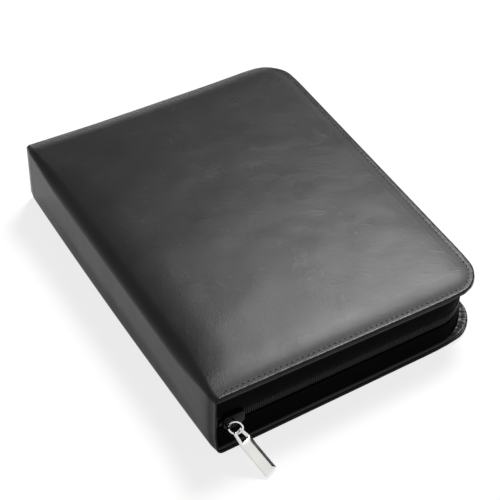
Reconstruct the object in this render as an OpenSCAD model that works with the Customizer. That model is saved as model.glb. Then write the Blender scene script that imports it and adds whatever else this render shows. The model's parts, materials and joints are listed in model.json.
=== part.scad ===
// Zip-around fountain pen case: two padded leather covers folded round a spine,
// a fabric gusset with a coil zip on three sides, and a row of pen loops in each cover.
//
// Millimetres. The case lies closed on its back cover. X runs from the spine (-X) to the
// fore-edge (+X), Y runs along the spine from the tail (-Y) to the head (+Y), Z is up.
// The origin is the centre of the back cover's flat underside.

/* [Case] */
// Length of the case along the spine
spine_len = 230; // [200:1:260]
// Width of a cover from the spine's outer face to the fore-edge
case_w = 180; // [165:1:200]
// Closed thickness at the spine
spine_h = 44; // [42:0.5:52]
// Closed thickness at the fore-edge
fore_h = 38; // [37:0.5:42]
// Corner radius of a cover at the fore-edge
corner_r = 18; // [12:0.5:22]

/* [Cover layers] */
// Thickness of the outer leather
leather_t = 1.3; // [1:0.1:1.6]
// Thickness of the foam padding under the leather
foam_t = 1.3; // [0.8:0.1:1.6]
// Thickness of the stiffening board
board_t = 1.6; // [1.2:0.1:2]
// Thickness of the inside lining
lining_t = 0.7; // [0.5:0.1:1]
// Width of the sewn border outside the board
border_w = 4.5; // [4:0.1:6]
// Outside radius of the fold between a cover and the spine
fold_r = 6; // [4.5:0.5:7]

/* [Gusset] */
// Distance from the cover's edge to the gusset wall
wall_inset = 1.8; // [1.2:0.1:2.4]
// Thickness of the gusset wall
wall_t = 1.2; // [0.8:0.1:1.5]
// Radius of the gusset wall at the fore-edge corners
wall_corner_r = 28; // [22:1:34]
// Thickness of the gusset's inner lining
gusset_lining_t = 0.5; // [0.3:0.1:0.8]
// Gap between the gusset's ends and the spine
gusset_end_gap = 0.4; // [0.2:0.1:1]

/* [Zip] */
// Thickness of the zip tape
tape_t = 0.6; // [0.4:0.1:0.8]
// Width of one zip tape, from the middle of the zip
tape_w = 10; // [8:0.5:12]
// Width of tape that shows beside the coil
tape_show = 2.1; // [1.8:0.1:3]
// Width of one half of the coil, from the middle of the zip
coil_w = 3.1; // [2.6:0.1:3.4]
// Thickness of the coil
coil_t = 1.6; // [1.2:0.1:1.8]
// Half of the slit between the two halves of the coil
coil_slit = 0.45; // [0.4:0.05:0.8]
// Length of a crimped stop at a tape's end
stop_len = 1.4; // [1:0.1:1.6]

/* [Slider] */
// Length of the slider along the zip
slider_len = 13; // [11:0.5:15]
// Distance from the cover's spine edge to the slider when the zip is closed
slider_start = 6; // [6:0.1:10]
// Thickness of the slider's outer plate
slider_plate_t = 1.8; // [1.4:0.1:2.2]
// Thickness of the slider's inner plate
slider_back_t = 1.2; // [1:0.1:1.6]
// Width of the slider's side flange
slider_flange_t = 1; // [0.8:0.1:1.2]
// Running clearance between the slider and the zip
slider_play = 0.3; // [0.2:0.05:0.4]
// Distance past the slider at which the front coil begins
coil_lead = 4.4; // [4.2:0.1:6]
// Length of the wedge that parts the two tapes
wedge_len = 2.4; // [2:0.1:3]
// Running clearance of the wedge in the slit
wedge_play = 0.1; // [0.08:0.01:0.15]

/* [Puller] */
// Width of the bail's strip
bail_w = 1.4; // [1.2:0.1:1.6]
// Thickness of the bail's strip
bail_t = 0.7; // [0.6:0.1:1]
// Height of the bail's eye
bail_gap = 2.7; // [2.5:0.1:3]
// Length of the bail's eye
bail_eye = 4.6; // [4:0.1:6]
// Radius of the ring to the middle of its wire
ring_r = 3.8; // [3.6:0.1:4.5]
// Thickness of the ring's wire
ring_wire = 1.1; // [0.9:0.1:1.3]
// Distance from the bail's foot to the ring's wire
ring_play = 0.8; // [0.4:0.1:1.5]
// Angle by which the ring stands out from the slider
ring_out = 34.4; // [20:0.2:50]
// Angle by which the ring leans back
ring_lean = 19; // [10:0.5:25]
// Angle round the ring from level down to its middle
ring_drop = 26.5; // [15:0.5:40]
// Angle round the ring from its lowest point to the tag
hook_turn = 23; // [10:0.5:35]
// Thickness of the tag's eye bar
eye_bar = 1.2; // [1:0.1:1.3]
// Play between the tag's eye and the ring
hook_play = 0.15; // [0.1:0.05:0.2]
// Length of the tag's eye
eye_len = 7.4; // [6:0.2:10]
// Width of the tag's eye at its bar
eye_w = 5.4; // [5:0.1:6.5]
// Length of the tag's flat bar
tag_len = 21; // [16:0.5:24]
// Width of the tag
tag_w = 8.2; // [7:0.1:10]
// Thickness of the tag
tag_t = 2.2; // [1.8:0.1:2.6]
// Width of the tag's bevels
tag_bevel = 0.7; // [0.4:0.1:0.8]
// Angle of the tag from straight out towards the fore-edge
tag_turn = 22.8; // [10:0.2:30]

/* [Pen loops] */
// Thickness of the padded pen panel
panel_t = 1; // [0.8:0.1:1.5]
// Distance from the case's outside to the pen panel
panel_inset = 7; // [6:0.5:10]
// Clear width of a pen loop
loop_bore = 13.4; // [12:0.2:14]
// Height of a loop's straight side
loop_side = 3.5; // [3:0.1:4.2]
// Thickness of the elastic
loop_t = 0.8; // [0.6:0.1:1]
// Width of the elastic, along the pens
loop_w = 34; // [20:1:50]
// Distance between pens
loop_pitch = 15.6; // [15.4:0.1:17]
// Distance of the loops from the middle, towards the head
loop_shift = 20; // [0:1:30]

/* [Divider] */
// Thickness of the padded divider leaf
leaf_t = 1.6; // [1.2:0.1:2]
// Distance from the case's outside to the divider leaf
leaf_inset = 8; // [7:0.5:12]
// Length of the strip that carries the divider
anchor_len = 3.2; // [2.5:0.1:5]
// Gap between the strip and the divider's rounded edge
leaf_play = 0.3; // [0.2:0.1:0.6]
// Width of the bound edge of the divider
binding_w = 4; // [3:0.5:6]

/* [Hidden] */

$fn = 64;
far = 400;         // longer than the case, for cutting away
fit = 0.1;         // gap between layers that lie against each other
seam = 0.05;       // half of the slit between two bodies at a fold

// Wedge shape: the covers lean towards each other by half_lean each.
half_lean = asin((spine_h - fore_h) / (2 * case_w));
fold_split = (90 - half_lean) / 2;        // angle of the plane that halves a fold
fold_x = fold_r / tan(fold_split);        // where the fold runs out into the flat
mid = spine_h / 2 * [sin(half_lean), 0, cos(half_lean)];   // middle of the spine's face

// Levels in a cover, from its outer face inwards
rim_h = leather_t + foam_t;               // the turned edge covers the foam's edge
board_top = rim_h + board_t;
cover_t = board_top + lining_t;
panel_top = cover_t + panel_t;
board_r = wall_corner_r + wall_inset - border_w;
spine_t = leather_t + board_t + lining_t;

// Depths of the gusset's layers, from the cover's edge inwards
tape_in = wall_inset + wall_t + fit;
tape_back = tape_in + tape_t;
coil_in = tape_in - coil_t;
gusset_x = spine_t + spine_h / 2 * tan(half_lean) + gusset_end_gap;
coil_x = gusset_x + mid[0] + stop_len + fit;
wall_edge = coil_w + tape_show;           // from the middle of the zip to the wall's edge

// Slider, measured from the cover's edge inwards
plate_in = coil_in - slider_play;
plate_out = plate_in - slider_plate_t;
back_in = tape_back + slider_play;
slider_half = coil_w + slider_play + slider_flange_t;
slider_end = slider_start + slider_len;
slider_corner = slider_half / 2;
notch_play = 0.3;
wedge_half = coil_slit - wedge_play;

// Bail, ring and tag
bail_x0 = slider_start + 0.4;
bail_eye_x = bail_x0 + bail_t;
bail_out = plate_out - bail_gap - bail_t;
wire_r = ring_wire / 2;
bar_r = eye_bar / 2;
ring_x = bail_eye_x + wire_r / cos(ring_drop) + ring_play;
ring_y = plate_out - bail_gap / 2;
// a point given along the zip, in from the tail edge, and up from the middle of the zip
function on_zip(x, y, z) = mid + [x * cos(half_lean) + z * sin(half_lean),
                                  y - spine_len / 2,
                                  z * cos(half_lean) - x * sin(half_lean)];
ring_pin = on_zip(ring_x, ring_y, 0);
hook_r = ring_r - wire_r - bar_r - hook_play;
hook_in_ring = [ring_r * cos(ring_drop) + hook_r * sin(hook_turn),
                -ring_r * sin(ring_drop) - hook_r * cos(hook_turn)];
hook = ring_pin + [
    hook_in_ring[0] * cos(ring_out) + hook_in_ring[1] * sin(ring_lean) * sin(ring_out),
    -hook_in_ring[0] * sin(ring_out) + hook_in_ring[1] * sin(ring_lean) * cos(ring_out),
    hook_in_ring[1] * cos(ring_lean)];
// the tag slopes down until the lower edge of its end meets the table
table_gap = 0.05;
tag_reach = eye_len + tag_len;
tag_slope = asin((hook[2] - table_gap) / norm([tag_reach, tag_t / 2]))
            - atan(tag_t / 2 / tag_reach);

// Pens
loop_out = loop_bore / 2 + loop_t;
panel_x = fold_x + 3;
loops_room = case_w - panel_inset - panel_x;
loop_count = floor(loops_room / loop_pitch);
loops_x = panel_x + (loops_room - (loop_count - 1) * loop_pitch) / 2;
leaf_x = spine_t + anchor_len + leaf_play + leaf_t / 2;   // the divider turns about this line

// ---- helpers ----

// Everything is drawn with x = 0 at the spine's outer face, then centred.
module centred() { translate([-case_w / 2, 0, 0]) children(); }

// What the back cover has, mirrored in the plane of the zip, is the front cover's.
module as_front() {
    centred() translate(mid) rotate([0, half_lean, 0]) mirror([0, 0, 1])
        rotate([0, -half_lean, 0]) translate(-mid) children();
}

module as_back() { centred() children(); }

// Frame of the zip: x along it, z up from its middle
module zip_frame() { translate(mid) rotate([0, half_lean, 0]) children(); }

// A cover's plan, square at the spine side and rounded at the fore-edge
module leaf_2d(x0, inset, r) {
    x1 = case_w - inset;
    y1 = spine_len / 2 - inset;
    translate([x0, -y1]) square([x1 - r - x0, 2 * y1]);
    translate([x1 - r - 1, r - y1]) square([r + 1, 2 * (y1 - r)]);
    for (s = [-1, 1])
        translate([x1 - r, s * (y1 - r)]) circle(r = r);
}

// A wall round the three open sides, t thick, its outer face inset by d
module wall_2d(x0, d, t) {
    r = wall_corner_r + wall_inset - d;
    difference() {
        leaf_2d(x0, d, r);
        leaf_2d(x0 - 1, d + t, r - t);
    }
}

// The slab between two heights measured down from the plane of the zip
module below_zip(from, to) {
    zip_frame() translate([-far / 2, -far / 2, -to]) cube([far, far, to - from]);
}

// A profile in x and z, drawn along the spine
module along_spine(len) { rotate([90, 0, 0]) linear_extrude(len, center = true) children(); }

// Half of the rounded fold, from the flat of a cover to the fold's halving plane
module fold_2d() {
    dx = seam / sin(fold_split);
    intersection() {
        translate([fold_x, fold_r]) difference() {
            circle(r = fold_r);
            circle(r = fold_r - leather_t);
        }
        polygon([[fold_x, -fold_r], [dx - fold_x, -fold_r],
                 [fold_x, (fold_x - dx) * tan(fold_split)]]);
    }
}

// The spine's profiles are drawn lying down, then stood up at the halving plane.
module stand_up() { rotate(fold_split) mirror([0, 1]) rotate(-fold_split) children(); }

// ---- the layers of one cover ----

module cover_leather() {
    difference() {
        linear_extrude(rim_h) leaf_2d(fold_x, 0, corner_r);
        translate([0, 0, leather_t]) linear_extrude(rim_h)
            leaf_2d(fold_x - 1, leather_t, corner_r - leather_t);
    }
    along_spine(spine_len) fold_2d();
}

module cover_foam() {
    d = leather_t + fit;
    translate([0, 0, leather_t]) linear_extrude(foam_t) leaf_2d(fold_x + fit, d, corner_r - d);
}

module cover_board() {
    translate([0, 0, rim_h]) linear_extrude(board_t) leaf_2d(fold_x + fit, border_w, board_r);
}

module cover_lining() {
    d = tape_in;
    translate([0, 0, board_top]) linear_extrude(lining_t)
        leaf_2d(fold_x + fit, d, wall_corner_r + wall_inset - d);
}

// The gusset: a flange sewn into the cover's border, and the wall that stands on it
module cover_gusset() {
    edge_gap = 0.3;
    translate([0, 0, rim_h]) linear_extrude(board_t) difference() {
        leaf_2d(fold_x + fit, edge_gap, corner_r - edge_gap);
        leaf_2d(fold_x - 1, border_w - fit, board_r + fit);
    }
    intersection() {
        translate([0, 0, rim_h]) linear_extrude(spine_h) wall_2d(gusset_x, wall_inset, wall_t);
        below_zip(wall_edge, far);
    }
}

module cover_gusset_lining() {
    intersection() {
        translate([0, 0, cover_t]) linear_extrude(spine_h)
            wall_2d(gusset_x, tape_back + fit, gusset_lining_t);
        below_zip(wall_edge, far);
    }
}

module cover_tape() {
    intersection() {
        linear_extrude(spine_h) wall_2d(gusset_x, tape_in, tape_t);
        below_zip(coil_slit, tape_w);
    }
}

module cover_coil(x0) {
    intersection() {
        linear_extrude(spine_h) wall_2d(x0, coil_in, coil_t);
        below_zip(coil_slit, coil_w);
    }
}

// A crimped stop at an end of the tape: the tail's is at side -1, the head's at side 1
module cover_stop(side) {
    zip_frame() translate([gusset_x, side * (spine_len / 2 - coil_in - coil_t / 2), -coil_w])
        translate([0, -coil_t / 2, 0]) cube([stop_len, coil_t, coil_w - coil_slit]);
}

module cover_panel() {
    translate([0, 0, cover_t]) linear_extrude(panel_t)
        leaf_2d(panel_x, panel_inset, wall_corner_r + wall_inset - panel_inset);
}

module loop_arch_2d() {
    difference() {
        union() {
            translate([-loop_out, 0]) square([2 * loop_out, loop_side]);
            translate([0, loop_side]) circle(r = loop_out);
        }
        translate([-loop_bore / 2, -loop_out]) square([loop_bore, loop_side + loop_out]);
        translate([0, loop_side]) circle(r = loop_bore / 2);
        translate([-far / 2, -far]) square([far, far]);
    }
}

module cover_loops() {
    for (i = [0 : loop_count - 1])
        translate([loops_x + i * loop_pitch, loop_shift, panel_top])
            along_spine(loop_w) loop_arch_2d();
}

// ---- back cover ----

module back_leather() { color("#2c2c2e") as_back() cover_leather(); }
module back_foam() { color("#8c8c86") as_back() cover_foam(); }
module back_board() { color("#6b5d48") as_back() cover_board(); }
module back_lining() { color("#3a3a3e") as_back() cover_lining(); }
module back_gusset() { color("#151517") as_back() cover_gusset(); }
module back_gusset_lining() { color("#2a2a2d") as_back() cover_gusset_lining(); }
module back_zip_tape() { color("#1d1d1f") as_back() cover_tape(); }
module back_zip_coil() { color("#101012") as_back() cover_coil(coil_x); }
module back_zip_stops() { color("#3c3c3e") as_back() for (side = [-1, 1]) cover_stop(side); }
module back_pen_panel() { color("#424247") as_back() cover_panel(); }
module back_pen_loops() { color("#1a1a1c") as_back() cover_loops(); }

// ---- front cover ----

module front_leather() { color("#3a3a3c") as_front() cover_leather(); }
module front_foam() { color("#8c8c86") as_front() cover_foam(); }
module front_board() { color("#6b5d48") as_front() cover_board(); }
module front_lining() { color("#3a3a3e") as_front() cover_lining(); }
module front_gusset() { color("#151517") as_front() cover_gusset(); }
module front_gusset_lining() { color("#2a2a2d") as_front() cover_gusset_lining(); }

// The front tape is open where the slider stands at rest, so that the cover can lift off it.
module front_zip_tape() {
    color("#1d1d1f") as_front() difference() {
        cover_tape();
        zip_frame() translate([slider_start - notch_play, -spine_len / 2, -slider_half - notch_play])
            cube([slider_len + 2 * notch_play, border_w + tape_back, slider_half + 2 * notch_play]);
    }
}

// On the tail side the front coil begins past the slider, where it swings clear of it.
module front_zip_coil() {
    color("#101012") as_front() difference() {
        cover_coil(coil_x);
        translate([0, -spine_len / 2, 0]) cube([slider_end + coil_lead, border_w, spine_h]);
    }
}

module front_zip_stop() { color("#3c3c3e") as_front() cover_stop(1); }
module front_pen_panel() { color("#424247") as_front() cover_panel(); }
module front_pen_loops() { color("#1a1a1c") as_front() cover_loops(); }

// ---- spine ----

module spine_leather() {
    color("#4a4a4c") as_back() along_spine(spine_len) stand_up() {
        translate([fold_x, 0]) square([spine_h - 2 * fold_x, leather_t]);
        fold_2d();
        translate([spine_h, 0]) mirror([1, 0]) fold_2d();
    }
}

module spine_board() {
    color("#6b5d48") as_back() along_spine(spine_len - 2 * border_w) stand_up()
        translate([fold_x, leather_t]) square([spine_h - 2 * fold_x, board_t]);
}

module spine_lining() {
    color("#3a3a3e") as_back() along_spine(spine_len - 2 * wall_inset) stand_up()
        translate([fold_x, leather_t + board_t]) square([spine_h - 2 * fold_x, lining_t]);
}

// ---- divider: a padded leaf that turns on a strip sewn to the spine ----

module divider_anchor() {
    color("#2a2a2d") as_back() along_spine(spine_len - 2 * leaf_inset) stand_up()
        translate([spine_h / 2 - leaf_t / 2, spine_t]) square([leaf_t, anchor_len]);
}

module leaf_plan(grow) {
    d = leaf_inset + grow;
    leaf_2d(leaf_x, d, wall_corner_r + wall_inset - d);
}

// The rounded edge on which the divider turns
module leaf_nose(len) { translate([leaf_x, 0, 0]) along_spine(len) circle(r = leaf_t / 2); }

module divider_leaf() {
    color("#303034") as_back() zip_frame() {
        translate([0, 0, -leaf_t / 2]) linear_extrude(leaf_t) leaf_plan(binding_w);
        leaf_nose(spine_len - 2 * (leaf_inset + binding_w));
    }
}

module divider_binding() {
    inside = binding_w - fit;
    color("#1a1a1c") as_back() zip_frame() difference() {
        union() {
            translate([0, 0, -leaf_t / 2]) linear_extrude(leaf_t) leaf_plan(0);
            leaf_nose(spine_len - 2 * leaf_inset);
        }
        translate([0, 0, -leaf_t]) linear_extrude(2 * leaf_t) {
            leaf_plan(inside);
            translate([-leaf_t, 0]) leaf_plan(inside);
        }
    }
}

// ---- slider and puller ----

module slider_plan() {
    x = slider_len / 2 - slider_corner;
    z = slider_half - slider_corner;
    square([slider_len, 2 * z], center = true);
    square([2 * x, 2 * slider_half], center = true);
    for (i = [-1, 1], k = [-1, 1])
        translate([i * x, k * z]) circle(r = slider_corner);
}

// A slab of the slider's plan, between two depths from the cover's edge
module slider_slab(from, to) {
    translate([slider_start + slider_len / 2, to - spine_len / 2, 0])
        rotate([90, 0, 0]) linear_extrude(to - from) slider_plan();
}

module slider_body() {
    channel = coil_w + slider_play;
    color("#202022") as_back() zip_frame() {
        difference() {
            slider_slab(plate_out, tape_in - slider_play);
            translate([0, plate_in - spine_len / 2, -channel]) cube([far, border_w, 2 * channel]);
        }
        slider_slab(back_in, back_in + slider_back_t);
        translate([slider_start + slider_corner / 2, plate_in - spine_len / 2, -wedge_half])
            cube([wedge_len, back_in - plate_in, 2 * wedge_half]);
    }
}

module slider_bail() {
    color("#202022") as_back() zip_frame()
        translate([0, -spine_len / 2, -bail_w / 2]) linear_extrude(bail_w) difference() {
            translate([bail_x0, bail_out])
                square([bail_eye + 2 * bail_t, plate_out - bail_out]);
            translate([bail_eye_x, plate_out - bail_gap]) square([bail_eye, bail_gap + 1]);
        }
}

module pull_ring() {
    color("#c9c9cb") as_back() translate(ring_pin) rotate([0, 0, -ring_out])
        rotate([-ring_lean, 0, 0])
        translate([ring_r * cos(ring_drop), 0, -ring_r * sin(ring_drop)])
        rotate([90, 0, 0]) rotate_extrude() translate([ring_r, 0]) circle(r = wire_r, $fn = 24);
}

module tag_leg_2d() {
    inner = eye_w / 2 - eye_bar;
    polygon([[0, inner], [eye_len, tag_w / 2 - eye_bar * 1.2],
             [eye_len, tag_w / 2], [0, eye_w / 2]]);
}

module tag_profile_2d() {
    a = tag_w / 2;
    b = tag_t / 2;
    polygon([[-a + tag_bevel, b], [-a, b - tag_bevel], [-a, -b], [a, -b],
             [a, b - tag_bevel], [a - tag_bevel, b]]);
}

module pull_tag() {
    color("#d2d2d0") as_back() translate(hook) rotate([0, tag_slope, tag_turn - 90]) {
        rotate([90, 0, 0]) cylinder(r = bar_r, h = eye_w, center = true);
        for (s = [0, 1]) mirror([0, s, 0])
            translate([0, 0, -bar_r]) linear_extrude(eye_bar) tag_leg_2d();
        translate([eye_len - eye_bar, 0, 0]) rotate([90, 0, 90])
            linear_extrude(tag_len + eye_bar) tag_profile_2d();
    }
}

back_leather();
back_foam();
back_board();
back_lining();
back_gusset();
back_gusset_lining();
back_zip_tape();
back_zip_coil();
back_zip_stops();
back_pen_panel();
back_pen_loops();
front_leather();
front_foam();
front_board();
front_lining();
front_gusset();
front_gusset_lining();
front_zip_tape();
front_zip_coil();
front_zip_stop();
front_pen_panel();
front_pen_loops();
spine_leather();
spine_board();
spine_lining();
divider_anchor();
divider_leaf();
divider_binding();
slider_body();
slider_bail();
pull_ring();
pull_tag();
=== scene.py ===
# %% [markdown]
# # A zip-round pen case in black leather
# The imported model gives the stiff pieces, the sizes and the hinges of the case. This script dresses
# it: leather over foam, a gathered cloth gusset, a coil zip, a bright puller, and the lining and
# pen loops inside. The model's own frame is kept: X from the spine to the fore-edge, Y along the
# spine from tail to head, Z up, and the back cover lying on the table at Z = 0. Blender counts in
# metres, while a case is drawn in millimetres, so points are worked out in mm and then multiplied
# by mm.

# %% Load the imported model
import json, math
import bpy
from mathutils import Matrix, Vector


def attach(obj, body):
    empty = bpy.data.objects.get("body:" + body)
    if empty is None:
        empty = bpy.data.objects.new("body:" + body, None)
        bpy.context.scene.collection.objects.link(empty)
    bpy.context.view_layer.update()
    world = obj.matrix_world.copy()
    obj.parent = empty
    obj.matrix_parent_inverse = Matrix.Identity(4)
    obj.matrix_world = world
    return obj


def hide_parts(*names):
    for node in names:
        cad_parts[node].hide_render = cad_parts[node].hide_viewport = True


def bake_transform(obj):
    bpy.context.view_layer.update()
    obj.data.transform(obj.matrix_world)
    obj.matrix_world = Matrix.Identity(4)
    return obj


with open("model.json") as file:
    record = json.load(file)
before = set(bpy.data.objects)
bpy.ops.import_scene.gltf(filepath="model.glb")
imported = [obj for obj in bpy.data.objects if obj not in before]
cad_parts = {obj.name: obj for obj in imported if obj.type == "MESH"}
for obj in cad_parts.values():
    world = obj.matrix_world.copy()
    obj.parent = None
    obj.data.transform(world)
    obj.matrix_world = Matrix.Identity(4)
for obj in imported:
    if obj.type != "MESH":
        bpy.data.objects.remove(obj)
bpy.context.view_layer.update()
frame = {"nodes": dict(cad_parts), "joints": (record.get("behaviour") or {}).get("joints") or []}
mm = 0.001

# %% [markdown]
# ## The camera
# A long lens a little under a metre away looks down on the tail end and the spine. It is set by two
# angles and a small roll round the middle of the case, as a tripod head would be.

# %% Place the camera
turn, height, roll = math.radians(-31.546), math.radians(46.099), math.radians(0.892)
distance, aside, lowered = 914.7 * mm, 1.38 * mm, 9.66 * mm
case_middle = Vector((0, 0, 22 * mm))
back = Vector((math.sin(turn) * math.cos(height), -math.cos(turn) * math.cos(height),
               math.sin(height)))
level = Vector((0, 0, 1)).cross(back).normalized()
upright = back.cross(level)
right = level * math.cos(roll) + upright * math.sin(roll)
up = upright * math.cos(roll) - level * math.sin(roll)
eye = case_middle + back * distance + right * aside - up * lowered
lens = bpy.data.cameras.new("camera")
lens.lens, lens.clip_start, lens.clip_end = 110.774, 0.02, 20
camera = bpy.data.objects.new("camera", lens)
camera.matrix_world = Matrix.Translation(eye) @ Matrix((right, up, back)).transposed().to_4x4()
bpy.context.scene.collection.objects.link(camera)
bpy.context.scene.camera = camera
print("camera at", [round(c, 3) for c in eye])

# %% [markdown]
# ## Shader helpers
# A finish is written as arithmetic. A small class wraps a socket, so that 1 - mask or mask * 0.2
# adds the Math node that it needs, and one method adds any other node from its type, settings and
# sockets. The world and the materials share that method.

# %% Wires and node trees
class Wire:
    """A value on its way between two nodes."""
    def __init__(self, tree, socket):
        self.tree, self.socket = tree, socket

    def math(self, operation, a, b=0.0):
        node = self.tree.nodes.new("ShaderNodeMath")
        node.operation = operation
        for slot, value in zip(node.inputs, (a, b)):
            if isinstance(value, Wire):
                self.tree.links.new(value.socket, slot)
            else:
                slot.default_value = value
        return Wire(self.tree, node.outputs[0])

    def __add__(self, other): return self.math("ADD", self, other)
    def __radd__(self, other): return self.math("ADD", other, self)
    def __sub__(self, other): return self.math("SUBTRACT", self, other)
    def __rsub__(self, other): return self.math("SUBTRACT", other, self)
    def __mul__(self, other): return self.math("MULTIPLY", self, other)
    def __rmul__(self, other): return self.math("MULTIPLY", other, self)
    def sin(self): return self.math("SINE", self)
    def step(self, low, high):
        """0 below low, 1 above high, smooth between."""
        node = self.tree.nodes.new("ShaderNodeMapRange")
        node.interpolation_type = "SMOOTHSTEP"
        self.tree.links.new(self.socket, node.inputs[0])
        node.inputs[1].default_value, node.inputs[2].default_value = low, high
        return Wire(self.tree, node.outputs[0])


class Graph:
    """A node tree, and short ways to add nodes to it."""
    def __init__(self, tree):
        self.tree = tree

    def add(self, kind, settings={}, **sockets):
        """A new node. A socket is given by its name, or by its number after an underscore."""
        node = self.tree.nodes.new(kind)
        for key, value in settings.items():
            setattr(node, key, value)
        for key, value in sockets.items():
            self.put(node.inputs[int(key[1:]) if key[0] == "_" else key], value)
        return node

    def put(self, socket, value):
        if isinstance(value, Wire):
            value = value.socket
        if isinstance(value, bpy.types.NodeSocket):
            self.tree.links.new(value, socket)
        else:
            socket.default_value = value

    def seen_or_mirrored(self):
        """1 for the camera, through glass and in mirrors, and 0 for diffuse light."""
        path = self.add("ShaderNodeLightPath")
        seen, through, mirrored = (Wire(self.tree, path.outputs[f"Is {ray} Ray"])
                                   for ray in ("Camera", "Transmission", "Glossy"))
        seen = seen.math("MAXIMUM", seen, through)
        return seen.math("MAXIMUM", seen, mirrored)


class Finish(Graph):
    """A material that is built around one Principled shader."""
    def __init__(self, name, **fixed):
        self.material = bpy.data.materials.new(name)
        self.material.use_nodes = True
        super().__init__(self.material.node_tree)
        self.shader = self.tree.nodes["Principled BSDF"]
        for socket, value in fixed.items():
            self.shader.inputs[socket.replace("_", " ")].default_value = value
        coordinates = self.add("ShaderNodeTexCoord").outputs
        self.place, self.cloth = coordinates["Object"], coordinates["UV"]

    def noise(self, scale, detail=2.0, stretch=None):
        at = self.place
        if stretch:
            at = self.add("ShaderNodeMapping", Vector=at, Scale=stretch).outputs[0]
        node = self.add("ShaderNodeTexNoise", Vector=at, Scale=scale, Detail=detail)
        return Wire(self.tree, node.outputs["Fac"])

    def cells(self, scale):
        node = self.add("ShaderNodeTexVoronoi", Vector=self.place, Scale=scale)
        return Wire(self.tree, node.outputs["Distance"])

    def along(self, axis, of=None):
        """One coordinate of the piece's UV map, or of another vector."""
        node = self.add("ShaderNodeSeparateXYZ", Vector=of or self.cloth)
        return Wire(self.tree, node.outputs[axis])

    def ridges(self, axis, rate):
        """A wave from 0 to 1 along the cloth or across it, of so many radians to the metre."""
        return (self.along(axis) * rate).sin() * 0.5 + 0.5

    def tint(self, amount, dark, light):
        node = self.add("ShaderNodeMix", {"data_type": "RGBA"}, _0=amount, _6=(*dark, 1),
                        _7=(*light, 1))
        self.put(self.shader.inputs["Base Color"], node.outputs[2])

    def rough(self, value): self.put(self.shader.inputs["Roughness"], value)

    def relief(self, height, depth, strength=1.0):
        """Bump of a height that runs from 0 to 1, depth metres deep."""
        node = self.add("ShaderNodeBump", Height=height, Distance=depth, Strength=strength)
        self.put(self.shader.inputs["Normal"], node.outputs[0])

def dress(obj, finish):
    obj.data.materials.clear()
    obj.data.materials.append(finish.material)

print("shader helpers:", Wire.__name__, Graph.__name__, Finish.__name__)

# %% [markdown]
# ## Light
# The leather is nearly black, so what shows on it is the reflection of a large soft lamp. That lamp
# stands behind the fore-edge corner, where the near right corner of the cover mirrors it best and
# the far left corner hardly does. A weak strip, low beyond the head edge, draws the roll of the
# leather there. The world is a plain grey for diffuse light and white wherever it is seen or
# mirrored, so the spine and the sewn border mirror white surroundings and stay apart from the
# cover.

# %% Set the world and the lamps
lit_point = Vector((0, 0, 20 * mm))

def lamp(name, azimuth, elevation, distance, size, watts):
    """A rectangular lamp that looks at the case, with its angles in degrees."""
    a, e = math.radians(azimuth), math.radians(elevation)
    light = bpy.data.lights.new(name, "AREA")
    light.shape, light.energy = "RECTANGLE", watts
    light.size, light.size_y = size
    obj = bpy.data.objects.new(name, light)
    obj.location = Vector((math.cos(a) * math.cos(e), math.sin(a) * math.cos(e),
                           math.sin(e))) * distance
    obj.rotation_euler = (obj.location - lit_point).to_track_quat("Z", "Y").to_euler()
    bpy.context.scene.collection.objects.link(obj)

scene = bpy.context.scene
scene.view_settings.view_transform = "Standard"
scene.world = bpy.data.worlds.new("studio")
scene.world.use_nodes = True
studio = Graph(scene.world.node_tree)
grey = studio.tree.nodes["Background"]
studio.put(grey.inputs["Color"], (0.55, 0.56, 0.57, 1))
studio.put(grey.inputs["Strength"], 0.35)
white = studio.add("ShaderNodeBackground", Color=(1, 1, 1, 1))
walls = studio.add("ShaderNodeMixShader", _0=studio.seen_or_mirrored(), _1=grey.outputs[0],
                   _2=white.outputs[0])
studio.put(studio.tree.nodes["World Output"].inputs["Surface"], walls.outputs[0])

lamp("key_softbox", azimuth=37.3, elevation=53.6, distance=3.0, size=(0.85, 0.85), watts=134)
lamp("head_strip", azimuth=74, elevation=12, distance=2.0, size=(1.0, 0.3), watts=7)

# %% [markdown]
# ## Leather
# Smooth calf that has been dyed through and lightly polished. It shows a very fine pebble, the slow
# waves of a hide glued over foam, a faint cloudiness in its shine, and almost no colour. Pebble and
# waves are one bump: cells and noise of a millimetre or less, under a tenth of a millimetre deep,
# and wider noises that are a little deeper. The cloudiness goes into roughness. Beside its seam the
# leather has been pressed hard and is duller: the UV map of a cover's skin holds the distance in
# from the edge, so that band can be placed by it. Along the tail, the edge that a hand takes hold
# of beside the puller, a wider band has been rubbed dull.

# %% Mix the leather
leather = Finish("black_calf", IOR=1.5, Specular_IOR_Level=0.12)
cloud = leather.noise(38, 3.0)
pores = leather.cells(1500)
pebble = pores * 0.5 + leather.noise(900, 3.0) * 0.5
fine = leather.noise(4200, 1.0)
patch = leather.noise(260, 2.0)
waves = leather.noise(90, 2.0) * 0.2 + leather.noise(26, 2.0) * 5.5
leather.tint(cloud * 0.6 + pebble * 0.4, (0.003, 0.003, 0.0031), (0.008, 0.008, 0.0083))
leather.relief(pebble * 0.92 + fine * 0.1 + patch * 0.3 + waves, 0.0001)

from_edge = leather.along("Y")                      # metres in from the edge of a cover's skin
toward_head = leather.along("Y", leather.place)
pressed_band = from_edge.step(0.0030, 0.0044) * (1 - from_edge.step(0.0046, 0.0100))
rubbed_band = (1 - toward_head.step(-0.1115, -0.0965)) * from_edge.step(0.0012, 0.0036)
leather.rough(0.212 + cloud * 0.06 + patch * 0.04 + pressed_band * 0.09 + rubbed_band * 0.13)
print("finish:", leather.material.name, len(leather.tree.nodes), "nodes")

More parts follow.
